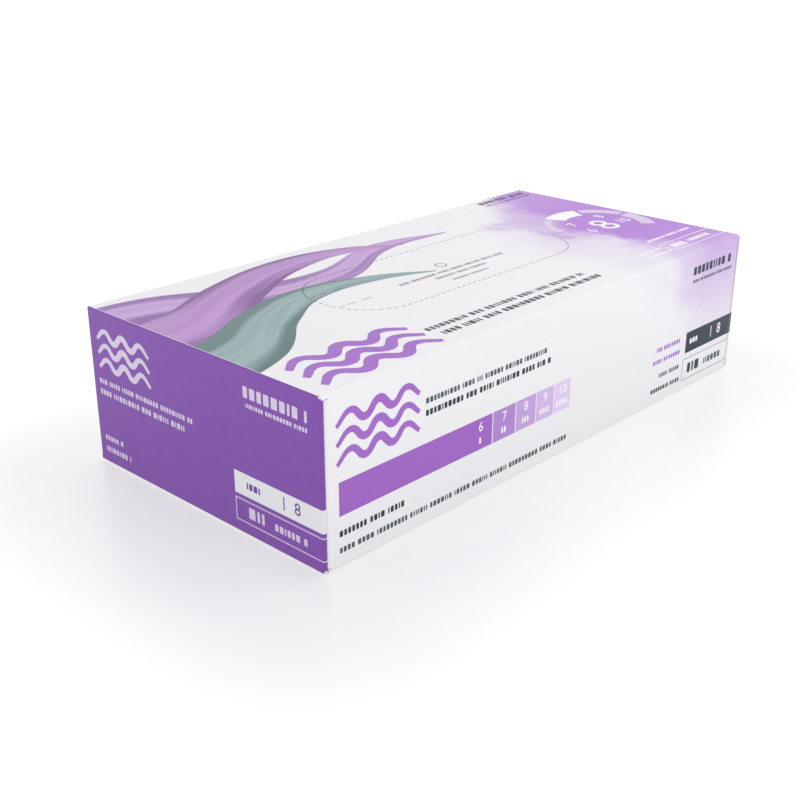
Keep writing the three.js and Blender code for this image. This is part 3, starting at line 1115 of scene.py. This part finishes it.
def waves(name, panel, material, left, low, length, rise, weight=0.075, slot="white_board"):
    """Three parallel waves, one above the other, as one print."""
    swing = 0.3 * rise
    strokes = []
    for row in range(3):
        level = low + rise * (0.17 + 0.33 * row)
        route = []
        for step in range(7):
            x = left + length * step / 6
            y = level + swing * (0.35 if step % 2 else -0.35)
            route.append((x, y, weight * rise * (0.55 + 0.45 * math.sin(math.pi * step / 6))))
        start_stroke(route, 48, 2)
        bpy.ops.object.mode_set(mode="OBJECT")
        strokes.append(bpy.context.object)
    for stroke in strokes:
        stroke.select_set(True)
    bpy.ops.object.join()
    bpy.ops.object.mode_set(mode="EDIT")
    return close_print(name, panel, material, 0.0, slot)


waves("front_waves", FRONT_PANEL, stroke_ink, 6, 34, 36, 19)
waves("top_waves", TOP_PANEL, stroke_ink, 7, 4, 52, 24, 0.1)
waves("left_end_waves", LEFT_END, soft_white, 5, 37, 30, 16, slot="violet_board")
waves("right_end_waves", RIGHT_END, soft_white, 5, 37, 30, 16, slot="violet_board")
waves("back_waves", BACK_PANEL, stroke_ink, 6, 34, 36, 19)

# %% [markdown]
# ## Satin ribbons
# Across the left of the top sweep three ribbons, in violet, lilac and grey green. What makes a flat print
# look like satin is its shading: a bright band along the crown of the fold, darker edges and fine streaks
# that follow the cloth. All three are functions of the ribbon's own UV map.

# %% Ribbon inks
def ribbon_ink(name, dark, middle, light, seed):
    """Print of a satin ribbon, shaded across its width, with streaks along it."""
    material, shader = new_material(name)
    uv = add_node(material, "TexCoord").outputs["UV"]
    streak_size = {"Vector": uv, "Location": (seed, 0, 0), "Scale": (2.2, 14, 1)}
    streak_place = add_node(material, "Mapping", streak_size)
    streaks = add_node(material, "TexNoise", {"Vector": streak_place.outputs[0], "Scale": 1.0, "Detail": 5.0})
    fold_size = {"Vector": uv, "Location": (seed, 3, 0), "Scale": (1.6, 2.6, 1)}
    fold_place = add_node(material, "Mapping", fold_size)
    folds = add_node(material, "TexNoise", {"Vector": fold_place.outputs[0], "Scale": 1.0, "Detail": 1.0})
    across = add_node(material, "SeparateXYZ", {0: uv}).outputs[1]
    shift = add_node(material, "Math", {0: folds.outputs["Fac"], 1: 1.1, 2: -0.55}, operation="MULTIPLY_ADD")
    crown = add_node(material, "Math", {0: across, 1: shift.outputs[0]}, operation="ADD").outputs[0]
    streak_share = {0: streaks.outputs["Fac"], 1: 0.34, 2: -0.17}
    grain = add_node(material, "Math", streak_share, operation="MULTIPLY_ADD")
    crown = add_node(material, "Math", {0: crown, 1: grain.outputs[0]}, operation="ADD").outputs[0]
    ramp = add_node(material, "ValToRGB", {0: crown})
    ramp.color_ramp.interpolation = "B_SPLINE"
    stops = ramp.color_ramp.elements
    tones = ((0.0, dark), (0.2, middle), (0.42, light), (0.58, middle), (0.78, light), (1.0, dark))
    while len(stops) < len(tones):
        stops.new(0.5)
    for stop, (where, tone) in zip(stops, tones):
        stop.position = where
        stop.color = linear(tone)
    feed(material, ramp.outputs[0], shader, "Base Color")
    varnish(material, shader, millimetres(material), 0.4, ROLLER_RIPPLE)
    return material


violet_satin = ribbon_ink("satin_ribbon_print_violet", "#6F4686", "#A377B8", "#C39AD2", 0.0)
lilac_satin = ribbon_ink("satin_ribbon_print_lilac", "#85589C", "#B088C4", "#CFAEDD", 5.0)
green_satin = ribbon_ink("satin_ribbon_print_grey_green", "#4F6B6C", "#7C9799", "#A3B8BA", 9.0)

# %% Ribbons
RIBBONS = (
    {"name": "ribbon_lilac", "ink": lilac_satin, "rise": 0.0,
     "route": ((-16, 102, 12), (14, 98, 13), (48, 84, 11), (84, 82, 8), (122, 96, 5), (158, 92, 0.4))},
    {"name": "ribbon_violet", "ink": violet_satin, "rise": 0.01,
     "route": ((-16, 72, 15), (12, 74, 16), (44, 92, 12), (78, 104, 8), (108, 103, 4), (132, 92, 0.4))},
    {"name": "ribbon_grey_green", "ink": green_satin, "rise": 0.02,
     "route": ((-16, 38, 16), (10, 46, 15), (34, 62, 11), (60, 72, 7), (92, 68, 3), (114, 58, 0.4))},
)

slits.matrix_world = WHOLE
for ribbon in RIBBONS:
    start_stroke(ribbon["route"], 120, 12)
    bpy.ops.transform.translate(value=(0, 0, ribbon["rise"]))
    bpy.ops.mesh.bisect(plane_co=(outer_fold / 2, 0, 0), plane_no=(1, 0, 0), clear_inner=True)
    bpy.ops.mesh.select_all(action="SELECT")
    bpy.ops.mesh.bisect(plane_co=(0, WIDTH - LONG_FOLD, 0), plane_no=(0, 1, 0), clear_outer=True)
    cut(close_print(ribbon["name"], TOP_PANEL, ribbon["ink"]), slits)

# %% [markdown]
# ## Stage, light and camera
# The carton stands on a white sweep in a bright tent. The world gives even white light from all sides,
# and one large soft lamp on the right makes the front and top brighten towards that end. The paper glows,
# as if lit from below, so that it stays white far away and the carton's real shadow on it stays soft,
# grey and free of violet. The glow is lower towards the carton: a painted shadow round its footprint.

# %% Floor
# The glow near the carton is lower than far away: painted shadow round its footprint
GLOW_IN_PAINTED_SHADOW, GLOW_FAR = 0.49, 0.80
PAINTED_SHADOW_RUN = 150

floor_white, shader = new_material("white_sweep_paper_with_painted_shadow")
place = millimetres(floor_white)
feed(floor_white, mottle(floor_white, place, "#A6A6A6", "#A4A4A4", 9.0), shader, "Base Color")
shader.inputs["Roughness"].default_value = 0.3
shader.inputs["Emission Color"].default_value = (1, 1, 1, 1)
flat = add_node(floor_white, "VectorMath", {0: place, 1: (1, 1, 0)}, operation="MULTIPLY").outputs[0]
beyond = add_node(floor_white, "VectorMath", {0: flat}, operation="ABSOLUTE").outputs[0]
footprint = (LENGTH / 2, WIDTH / 2, 0)
beyond = add_node(floor_white, "VectorMath", {0: beyond, 1: footprint}, operation="SUBTRACT").outputs[0]
beyond = add_node(floor_white, "VectorMath", {0: beyond, 1: (0, 0, 0)}, operation="MAXIMUM").outputs[0]
away = add_node(floor_white, "VectorMath", {0: beyond}, operation="LENGTH").outputs["Value"]
# The glow drops towards the carton's footprint over a set run: painted shadow on the floor
painted_shadow_fade = {0: away, 1: 0, 2: PAINTED_SHADOW_RUN, 3: GLOW_IN_PAINTED_SHADOW, 4: GLOW_FAR}
glow = add_node(floor_white, "MapRange", painted_shadow_fade, interpolation_type="SMOOTHERSTEP")
feed(floor_white, glow.outputs[0], shader, "Emission Strength")

start(bpy.ops.mesh.primitive_plane_add, size=8)
bpy.ops.mesh.subdivide(number_cuts=4)
bpy.ops.object.mode_set(mode="OBJECT")
floor = bpy.context.object
floor.name = "floor"
floor.data.materials.append(floor_white)

# %% Light
TENT_LIGHT = 0.97
KEY_PLACE = (0.40, -0.26, 0.40)
KEY_SIZE, KEY_ENERGY = 0.4, 0.55

world = bpy.data.worlds.new("white_tent")
world.use_nodes = True
world.node_tree.nodes["Background"].inputs["Color"].default_value = (1, 1, 1, 1)
world.node_tree.nodes["Background"].inputs["Strength"].default_value = TENT_LIGHT
bpy.context.scene.world = world

bpy.ops.object.light_add(type="AREA", location=KEY_PLACE)
key = bpy.context.object
key.name = "key_light"
key.data.shape = "DISK"
key.data.size = KEY_SIZE
key.data.energy = KEY_ENERGY
key.rotation_mode = "QUATERNION"
key.rotation_quaternion = (Vector((0, 0, 0.03)) - key.location).to_track_quat("-Z", "Y")

# %% Camera
CAMERA_PLACE = Vector((-333.6, -293.7, 193.0))
CAMERA_AIM = Vector((0.6673, 0.6336, -0.3916))

bpy.ops.object.camera_add(location=CAMERA_PLACE * MM)
camera = bpy.context.object
camera.data.lens = 54.25
camera.data.sensor_width = 36
camera.data.clip_start = 0.01
camera.rotation_mode = "QUATERNION"
camera.rotation_quaternion = CAMERA_AIM.to_track_quat("-Z", "Y")
bpy.context.scene.camera = camera
bpy.context.scene.view_settings.view_transform = "Standard"

# %% [markdown]
# ## Clear away
# The cutters and the guide line have done their work, so they go.

# %% Put the cutters away
for helper in (slits, window, edge_line):
    bpy.data.objects.remove(helper)
